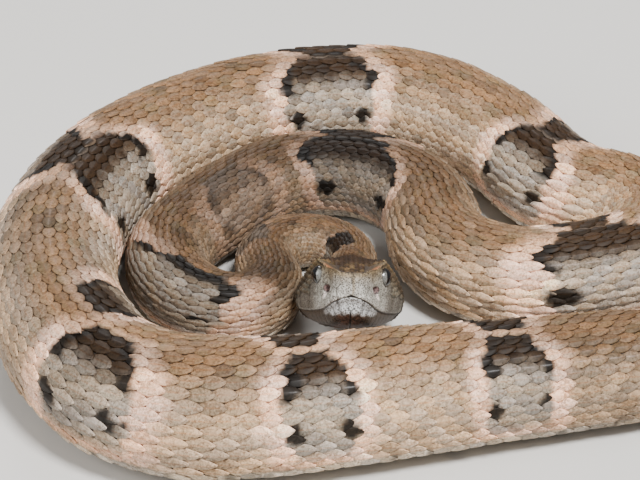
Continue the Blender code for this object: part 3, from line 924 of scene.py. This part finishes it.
# %% A tree that lays scales on points
def scale_tree(seed):
    tree = bpy.data.node_groups.new("Lay scales", "GeometryNodeTree")
    for label, kind in (("Roots", "Geometry"), ("Tile", "Object"), ("Length", "Float"), ("Width", "Float"),
                        ("Thickness", "Float"), ("Ruffle", "Float"), ("Patch", "Float"),
                        ("Finish", "Material")):
        tree.interface.new_socket(label, in_out="INPUT", socket_type="NodeSocket" + kind)
    tree.interface.new_socket("Scales", in_out="OUTPUT", socket_type="NodeSocketGeometry")
    wire = Wire(tree)

    def given(name):
        return wire.node("NodeGroupInput", out=name)

    def fact(name):
        return wire.node("GeometryNodeInputNamedAttribute", {"data_type": "FLOAT_VECTOR"}, Name=name)

    def vectors(operation, first, **rest):
        return wire.node("ShaderNodeVectorMath", {"operation": operation}, i0=first, **rest)

    tile = wire.node("GeometryNodeObjectInfo", out="Geometry", i0=given("Tile"))
    stretch = wire.node("ShaderNodeCombineXYZ", X=given("Length"), Y=given("Width"), Z=given("Thickness"))
    wave = wire.node("FunctionNodeRandomValue", {"data_type": "FLOAT_VECTOR"},
                     Min=(-1, -1, -1), Max=(1, 1, 1), Seed=seed)
    turn = vectors("ADD", fact("Turn"), i1=vectors("SCALE", wave, Scale=given("Ruffle")))
    scales = wire.node("GeometryNodeInstanceOnPoints", Points=given("Roots"), Instance=tile, Rotation=turn,
                       Scale=vectors("MULTIPLY", fact("Size"), i1=stretch))
    scales = wire.node("GeometryNodeRealizeInstances", Geometry=scales)
    unwrap = vectors("ADD", fact("Root"), i1=vectors("SCALE", fact("Local"), Scale=given("Patch")))
    scales = wire.node("GeometryNodeStoreNamedAttribute", {"data_type": "FLOAT2", "domain": "CORNER"},
                       Geometry=scales, Name="OFBake", Value=unwrap)
    scales = wire.node("GeometryNodeSetMaterial", Geometry=scales, Material=given("Finish"))
    wire.node("NodeGroupOutput", Scales=scales)
    return tree


LAY_SCALES = scale_tree(seed=7)
print("nodes that lay the scales:", len(LAY_SCALES.nodes))

# %% Lay one piece of the coat
HELPERS, MARKS_CROSS, PATCH = ("Turn", "Size", "Root", "Centre", "Reach"), 0.65, 0.003


def read(mesh, name):
    values = np.zeros(len(mesh.vertices) * 3, dtype=np.float32)
    mesh.attributes[name].data.foreach_get("vector", values)
    return values.reshape(-1, 3)


def lay(name, tile, finish, pick, roots, facts):
    """The tile on every picked root, as a plain mesh. With the fact Centre the markings cross its scales."""
    thing = new_mesh(name, roots[pick], [], **{label: values[pick] for label, values in facts.items()})
    layer = thing.modifiers.new("scales", "NODES")
    layer.node_group = LAY_SCALES
    values = {"Tile": tile, "Length": 1.0, "Width": 1.0, "Thickness": 1.0, "Ruffle": 0.022, "Patch": PATCH,
              "Finish": finish}
    for item in LAY_SCALES.interface.items_tree:
        if item.in_out == "INPUT" and item.name in values:
            layer[item.identifier] = values[item.name]
    done = bpy.data.meshes.new_from_object(thing.evaluated_get(bpy.context.evaluated_depsgraph_get()))
    thing.modifiers.remove(layer)
    thing.data = done
    done.name = name
    if "Centre" in facts:
        local, middle, span = (read(done, label) for label in ("Local", "Centre", "Reach"))
        s = middle[:, 0] + MARKS_CROSS * (local[:, 0] - 0.5) * span[:, 0]
        q = (middle[:, 1] + MARKS_CROSS * local[:, 1] * span[:, 1]) / BELLY_TURN
        warmth = 1 + span[:, 2:3] * np.array([0.6, 0.0, -1.0])
        colour = with_alpha(markings(s, q) * middle[:, 2:3] * warmth)
        done.attributes["Tint"].data.foreach_set("color", colour.astype(np.float32).ravel())
    for label in HELPERS:
        if label in done.attributes:
            done.attributes.remove(done.attributes[label])
    print(name, int(pick.sum()), "scales,", sum(len(p.vertices) - 2 for p in done.polygons), "triangles",
          [layer.name for layer in done.uv_layers])
    return thing


# %% How a scale stands, and where it lies in the skin laid flat
UNWRAP_MM, STRIP = 380.0, 360.0


def stood(here, along, out, size, root_up, tip_up):
    """Roots and Euler turns of scales centred here, their ends raised by shares of their thickness."""
    long, thick = size[:, 0], size[:, 2]
    tilt = np.arctan2(tip_up * thick, long)
    z = out / np.linalg.norm(out, axis=1, keepdims=True)
    x = along - z * (along * z).sum(axis=1, keepdims=True)
    x = x / np.maximum(np.linalg.norm(x, axis=1, keepdims=True), 1e-9)
    cos, sin = np.cos(tilt)[:, None], np.sin(tilt)[:, None]
    x, z = x * cos + z * sin, z * cos - x * sin
    y = np.cross(z, x)
    turns = (np.arctan2(y[:, 2], z[:, 2]), -np.arcsin(np.clip(x[:, 2], -1, 1)), np.arctan2(x[:, 1], x[:, 0]))
    roots = here - x * (0.5 * long)[:, None] + out * (root_up * thick)[:, None] + SHIFT
    return roots, np.stack(turns, axis=1)


def unwrapped(s, arc):
    """The skin laid flat in three strips, with the head above them, as places with a height of 0."""
    strip = np.floor(s / STRIP)
    on_head = s < 0
    x = np.where(on_head, s + HEAD_END, s - strip * STRIP) / UNWRAP_MM + 0.02
    y = np.where(on_head, 0.90 + 0.8 * arc / UNWRAP_MM, 0.14 + 0.27 * strip + arc / UNWRAP_MM)
    return np.stack([x, y, 0 * x], axis=1)


# %% [markdown]
# The body's rows: a pit viper of this kind has about 25 of them, with one wide scute under the belly for
# each scale along a row. The scales grow with the body's girth, so their spacing is a fixed share of its
# half width.

# %% Spacing of the rows round the body and of the scales along it
ROWS, ALONG_STEP = 25, 0.25
SCALE_AT = (0, 60, 150, 300, 700, 850, 955, 1010, 1078)
SCALE_PITCH = (2.5, 3.4, 4.3, 5.0, 5.3, 5.0, 4.0, 2.7, 1.3)


def pitch_at(s):
    """The length of one step along a row at s, in mm."""
    return np.interp(s, SCALE_AT, SCALE_PITCH)


fine_turn = np.linspace(0, BELLY_TURN, 400)
fine_out, fine_up = profile(fine_turn)
girth = np.concatenate([[0], np.cumsum(np.hypot(np.diff(fine_out), np.diff(fine_up)))])
row_share = girth[-1] / (ROWS / 2)
row_number = np.arange(ROWS) - ROWS // 2
row_arc = np.abs(row_number) / (ROWS / 2) * girth[-1]
row_turn = np.sign(row_number) * np.interp(row_arc, girth, fine_turn)
along_body = np.arange(0.0, LENGTH, ALONG_STEP)
count_there = np.concatenate([[0], np.cumsum(ALONG_STEP / pitch_at(along_body[:-1]))])
columns = np.arange(0, int(count_there[-1]) - 1)
print(len(columns), "columns of", ROWS, "scales")

# %% Where every scale of the body stands
col, row = np.meshgrid(columns, np.arange(ROWS), indexing="ij")
col, row = col.ravel(), row.ravel()
scale_s = np.interp(col + 0.5 * (np.abs(row_number[row]) % 2) + 0.5, count_there, along_body)
scale_turn = row_turn[row]
half_width = spine(scale_s)[4]
pitch = pitch_at(scale_s)
sunk_there = skin_sunk(scale_s)
here, out = body_place(scale_s, scale_turn, sunk_there)
ahead, _ = body_place(scale_s + pitch / 2, scale_turn, sunk_there)
behind, _ = body_place(scale_s - pitch / 2, scale_turn, sunk_there)
run = np.linalg.norm(ahead - behind, axis=1)
print("steps along the rows, mm:", round(float(run.min()), 1), "to", round(float(run.max()), 1))

# %% Sizes and turns of the body's scales
OVERLAP, SCALE_WIDE, SCALE_THICK, EDGE_WIDER = 1.22, 1.19, 0.062, 1.22
jitter = rng.normal(0, 1, (len(col), 3))
long = OVERLAP * np.clip(run, 0.62 * pitch, 1.6 * pitch) * (1 + 0.02 * jitter[:, 0])
edge_row = np.abs(row_number[row]) == ROWS // 2
wide = SCALE_WIDE * (row_share * half_width) * np.where(edge_row, EDGE_WIDER, 1.0)
size = np.stack([long, wide, SCALE_THICK * np.minimum(long, 2.2 * wide)], axis=1)
roots, turns = stood(here, ahead - behind, out, size, root_up=0.30, tip_up=0.50)
warmth = 0.08 * np.sin(37.0 * scale_s + 11.0 * scale_turn)
facts = {
    "Turn": turns, "Size": size * MM, "Tint": np.ones((len(col), 4)),
    "Root": unwrapped(scale_s, np.sign(scale_turn) * np.abs(row_arc[row]) * half_width),
    "Centre": np.stack([scale_s + 0.12 * pitch * jitter[:, 1], scale_turn, 1 + 0.15 * jitter[:, 2]], axis=1),
    "Reach": np.stack([pitch * OVERLAP, wide / half_width, warmth], axis=1),
}
print("mean scale, mm:", size.mean(axis=0).round(2))

# %% Lay the scales of the body in five lengths
COAT_PARTS = (("scales_neck", 0, 250), ("scales_fore", 250, 560), ("scales_mid", 560, 860),
              ("scales_hind", 860, 1000), ("scales_tail", 1000, 1100))
coat = []
for name, start, stop in COAT_PARTS:
    pick = (scale_s >= start) & (scale_s < stop)
    coat.append(lay(name, keeled_tile, keeled_scale, pick, roots, facts))

# %% [markdown]
# The crown and jowls carry the same scales in small. Their rows keep a fixed distance from the middle of
# the crown, so rows end one by one at the lips, as they do on the animal. The plates of snout and lips stay
# free.

# %% Rows of small scales on the head
HEAD_ROW, ROWS_ASIDE, HEAD_STEP_ALONG = float(row_share * HALF_WIDTH[0]), 30, 0.1
HEAD_PITCH_AT, HEAD_PITCHES = (3, 14, 40), (2.0, 2.2, 2.5)
top = COLUMNS // 2
ring_u = head_u[:, top]
head_along = np.arange(3.0, HEAD_END - 0.5, HEAD_STEP_ALONG)
head_step = np.interp(head_along, HEAD_PITCH_AT, HEAD_PITCHES)
head_count = np.concatenate([[0], np.cumsum(HEAD_STEP_ALONG / head_step[:-1])])
head_count -= head_count[-1]
found = []
for row_here in range(-ROWS_ASIDE, ROWS_ASIDE + 1):
    arc, left = abs(row_here) * HEAD_ROW, row_here > 0
    for n in np.arange(math.ceil(head_count[0]), 0):
        u = float(np.interp(n + 0.5 * (abs(row_here) % 2), head_count, head_along))
        i = float(np.interp(u, ring_u, np.arange(len(ring_u))))
        ring_here = head_places[int(round(i))]
        half_ring = ring_here[top::-1] if left else np.roll(ring_here, -top, axis=0)[: top + 1]
        arcs = np.concatenate([[0], np.cumsum(np.linalg.norm(np.diff(half_ring, axis=0), axis=1))])
        if arc <= arcs[-1] - 0.5:
            j = float(np.interp(arc, arcs, np.arange(top + 1)))
            found.append((i, (top - j if left else top + j) % COLUMNS, u, math.copysign(arc, row_here)))
print(len(found), "places for scales on the head")


# %% Keep the places that are free of plates, eyes, lips and pits
def on_grid(grid, i, j):
    """A grid of the head read between its rings and columns."""
    i = np.clip(i, 0, len(grid) - 1.001)
    i0, j0 = np.floor(i).astype(int), np.floor(j).astype(int)
    fi, fj = i - i0, j - j0
    if grid.ndim == 3:
        fi, fj = fi[:, None], fj[:, None]
    j0, j1 = j0 % COLUMNS, (j0 + 1) % COLUMNS
    near_ring = grid[i0, j0] * (1 - fj) + grid[i0, j1] * fj
    return near_ring * (1 - fi) + (grid[i0 + 1, j0] * (1 - fj) + grid[i0 + 1, j1] * fj) * fi


i, j, at_u, at_arc = np.array(found).T
at_v, at_w, at_t = (on_grid(grid, i, j) for grid in (head_v, head_w, head_t))
eye_gap = np.sqrt((at_u - EYE_BACK) ** 2 + (np.abs(at_v) - EYE_OUT - 1.5) ** 2 + (at_w - EYE_UP) ** 2)
off_lips = (np.abs(at_t - LIP) > 0.22) | (at_u > 34.0)
free = (on_grid(plated, i, j) < 0.4) & (on_grid(pit, i, j) > 1.6)
keep = free & (eye_gap > 3.3) & off_lips & (at_u > 4.0)
i, j, at_u, at_arc, at_t = (x[keep] for x in (i, j, at_u, at_arc, at_t))
print(len(i), "of them are free")

# %% Lay the scales of crown, jowls and throat
HEAD_OVERLAP, HEAD_WIDE, HEAD_THICK = 1.34, 1.36, 0.125
here, out = on_grid(head_places, i, j), on_grid(-grid_normals(head_places), i, j)
along = on_grid(head_places, i + 4, j) - on_grid(head_places, i - 4, j)
pitch = np.interp(at_u, HEAD_PITCH_AT, HEAD_PITCHES)
jitter = rng.normal(0, 1, (len(i), 3))
long = HEAD_OVERLAP * pitch * (1 + 0.06 * jitter[:, 0])
wide = HEAD_ROW * (HEAD_WIDE + 0.06 * jitter[:, 1])
size = np.stack([long, wide, HEAD_THICK * pitch], axis=1)
roots, turns = stood(here, along, out, size, root_up=0.2, tip_up=0.6)
golden = smooth(jitter[:, 2], 0.3, 1.3) * smooth(at_t, 7.0, 7.6) * fading(at_u, 16.0, 32.0)
# The small scales take the head's colours, the painted shade under the jaw included.
tint = painted(on_grid(head_tint, i, j), ("crown light", 0.6 * golden)) * (1 + 0.24 * jitter[:, 0:1])
facts = {"Turn": turns, "Size": size * MM, "Tint": with_alpha(tint),
         "Root": unwrapped(at_u - HEAD_END, at_arc)}
coat.append(lay("scales_crown", keeled_tile, keeled_scale, at_t > 2.0, roots, facts))
coat.append(lay("scales_throat", plain_tile, smooth_scale, at_t <= 2.0, roots, facts))
for tile in (keeled_tile, plain_tile):
    bpy.data.objects.remove(tile, do_unlink=True)

# %% [markdown]
# Under the belly one wide scute spans from side to side for each scale of a row. It bends round the body,
# so it is made as a small curved grid rather than as a flat tile.

# %% Where the scutes lie
SCUTE_POINTS, PAST_EDGE, SCUTE_ROOT, SCUTE_TIP, BESIDE_FLANK = 13, math.radians(4), -0.05, 1.12, 2.475
# The five lines across a scute: share of its length, mm below the body's outline, and place on a scale.
SCUTE_LINES = ((0.0, 0.62, 0.0), (0.1, 0.48, 1 / 3), (0.9, 0.22, 2 / 3), (1.0, 0.24, 1.0), (1.0, 0.62, 1.0))
scute_turns = np.linspace(BELLY_TURN - PAST_EDGE, 2 * math.pi - BELLY_TURN + PAST_EDGE, SCUTE_POINTS)
lines, n = len(SCUTE_LINES), SCUTE_POINTS
s0, s1 = (np.interp(columns + end, count_there, along_body)[:, None] for end in (SCUTE_ROOT, SCUTE_TIP))
level = 0 * s0 + 0 * scute_turns
places = np.stack([body_place(s0 * (1 - share) + s1 * share + level, scute_turns + level, sunk)[0]
                   for share, sunk, _ in SCUTE_LINES], axis=1).reshape(-1, 3) + SHIFT
places[:, 2] = np.maximum(places[:, 2], 0.02)
local = np.stack([np.stack([x + level, np.linspace(-0.42, 0.42, n) + level, level], axis=2)
                  for _, _, x in SCUTE_LINES], axis=1).reshape(-1, 3)
middle = np.interp(columns + 0.5, count_there, along_body)[:, None] + level
belly = markings(middle, np.minimum(1.25, np.abs(place_turn(scute_turns))) + level)
print("scutes:", len(columns))

# %% The scutes as one mesh
faces = []
for r in range(len(columns) * lines):
    following = r + 1 if r % lines != lines - 1 else r - lines + 1
    faces += [(r * n + k, following * n + k, following * n + k + 1, r * n + k + 1) for k in range(n - 1)]
    if following < r:
        faces.append(tuple((following + step) * n for step in range(lines)))
        faces.append(tuple((r - step) * n + n - 1 for step in range(lines)))
tint = with_alpha(np.repeat(belly, lines, axis=0).reshape(-1, 3))
scutes = new_mesh("scutes", places, faces, Tint=tint, Local=local)
flat_roots = unwrapped(s0[:, 0], BESIDE_FLANK * np.interp(s0[:, 0], SIZE_AT, HALF_WIDTH))[:, :2]
flat_places = np.repeat(flat_roots, lines * n, axis=0) + PATCH * local[:, :2]
spot = scutes.data.uv_layers.new(name="OFBake")
corner = np.zeros(len(scutes.data.loops), dtype=np.int32)
scutes.data.loops.foreach_get("vertex_index", corner)
spot.data.foreach_set("uv", flat_places[corner].astype(np.float32).ravel())
scutes.data.materials.append(smooth_scale)
coat.append(scutes)
print("pieces of the coat:", [piece.name for piece in coat])

# %% [markdown]
# A viper's eye has no lids. A clear scale covers a pale, finely veined iris with an upright slit of a
# pupil. The whole ball is one closed mesh, and its material reads the direction on the ball, so the iris
# needs no image.

# %% The eye balls
EYE_RINGS, EYE_SEGMENTS, BALL_SHARE = 40, 56, 0.995


def eye_ball(name, node, hand):
    """A closed ball on the snake's left (1) or right (-1), whose attribute Gaze is the direction on it."""
    axis = GAZE * np.array([1, hand, 1])
    level = np.cross(axis, [0, 0, 1.0])
    level /= np.linalg.norm(level)
    upright = np.cross(level, axis)
    polar = (math.pi * np.arange(1, EYE_RINGS) / EYE_RINGS)[:, None]
    turn = 2 * math.pi * np.arange(EYE_SEGMENTS)[None] / EYE_SEGMENTS
    wide, deep = np.sin(polar), np.cos(polar) + 0 * turn
    gaze = np.stack([wide * np.cos(turn), wide * np.sin(turn), deep], axis=2).reshape(-1, 3)
    gaze = np.concatenate([[(0.0, 0.0, 1.0)], gaze, [(0.0, 0.0, -1.0)]])
    reach = EYE_RADIUS * np.where(np.abs(gaze[:, 2:]) < 1, BALL_SHARE, 1.0)
    places = np.array([EYE_BACK, hand * EYE_OUT, EYE_UP]) + reach * (gaze @ np.array([level, upright, axis]))
    faces = tube_faces([EYE_SEGMENTS] * (EYE_RINGS - 1))
    ball = new_mesh(name, turn_head(*places.T) + SHIFT, faces, Gaze=gaze)
    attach(ball, "root")
    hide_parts(node)
    return ball


eyes = [eye_ball("eye_left_ball", "eye_left", 1), eye_ball("eye_right_ball", "eye_right", -1)]
print("eyes:", [eye.name for eye in eyes])

# %% Finish of the eyes: veined iris, darker rim, an upper part darkened partly by painted shadow of the brow, and the black slit
eye_finish, shader, wire = new_finish("Eye under its clear scale", Roughness=0.12, Specular_IOR_Level=0.6)
gaze = attribute(wire, "Gaze", out=1)
level = wire.node("ShaderNodeSeparateXYZ", Vector=gaze)
upright = level.other(1)
slit = (abs(level) * 2.4) ** 2.0 + abs(upright) ** 2.0
radius = (abs(level) ** 2.0 + abs(upright) ** 2.0) ** 0.5
veins = noise(wire, gaze, 14.0, 5.0, 0.7).step(0.38, 0.62)
shade = wire.node("ShaderNodeMix", {"data_type": "RGBA"}, out=2, i0=veins, i6=(0.055, 0.05, 0.042, 1.0),
                  i7=(0.25, 0.255, 0.24, 1.0))
# The upper part of the eye darkens: partly the iris's own colour, partly a painted shadow of the brow.
for colour, amount in (((0.05, 0.04, 0.03, 1.0), radius.step(0.74, 0.86)),
                       ((0.02, 0.016, 0.012, 1.0), upright.step(0.42, 0.72)),
                       ((0.003, 0.003, 0.003, 1.0), 1 - slit.step(0.85, 1.05))):
    shade = shade.mix(colour, amount)
feed(shader, Base_Color=shade)
for eye in eyes:
    eye.data.materials.append(eye_finish)
print(eye_finish.name, "has", len(eye_finish.node_tree.nodes), "nodes")

# %% [markdown]
# The skin stands for every solid of flesh, and the coat rides with it.

# %% Tie the pieces to the frame
flesh = [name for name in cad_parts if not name.startswith("eye")]
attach(skin, "root")
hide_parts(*flesh)
for piece in coat:
    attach(piece, "root")
print("the skin stands for", len(flesh), "solids")

# %% [markdown]
# The stage: a plain pale floor, a large soft lamp from the front and above, a weaker one from the other
# side and an even pale surround, as in a museum's show case.

# %% Floor
bpy.ops.mesh.primitive_plane_add(size=6.0, location=(0, 0, 0))
floor = bpy.context.object
floor.name = "floor"
floor_finish, shader, wire = new_finish("Pale floor", Roughness=0.85, Base_Color=(0.62, 0.60, 0.57, 1.0))
floor.data.materials.append(floor_finish)
print("floor:", floor.name)


# %% Lamps and surround
def aim(thing, at):
    """Turns a lamp or a camera to look at a place."""
    thing.rotation_euler = (at - thing.location).to_track_quat("-Z", "Y").to_euler()
    bpy.context.scene.collection.objects.link(thing)


LAMPS = {"key": ((0.34, -0.60, 1.25), 0.36, 36.8), "fill": ((-0.95, -0.55, 0.75), 0.8, 9.5),
         "rim": ((-0.2, 1.1, 0.9), 0.7, 9.0)}
for name, (place, size, power) in LAMPS.items():
    data = bpy.data.lights.new(name, "AREA")
    data.shape, data.size, data.energy = "DISK", size, power
    lamp = bpy.data.objects.new(name, data)
    lamp.location = place
    aim(lamp, Vector((0, 0, 0.02)))
world = bpy.data.worlds.new("surround")
world.use_nodes = True
surround = world.node_tree.nodes["Background"].inputs
surround["Color"].default_value = (0.95, 0.97, 1.0, 1.0)
surround["Strength"].default_value = 0.36
bpy.context.scene.world = world
print("lamps:", list(LAMPS))

# %% Camera
ELEVATION, DISTANCE, LENS = math.radians(34), 0.90, 168.75
LOOK_AT = Vector((0.0, 0.0, 0.02)) + Vector(tuple(SHIFT * MM))
data = bpy.data.cameras.new("camera")
data.lens, data.sensor_width, data.clip_start = LENS, 36.0, 0.01
camera = bpy.data.objects.new("camera", data)
camera.location = LOOK_AT + Vector((0, -math.cos(ELEVATION), math.sin(ELEVATION))) * DISTANCE
aim(camera, LOOK_AT)
bpy.context.scene.camera = camera
print("camera at", [round(x, 3) for x in camera.location])
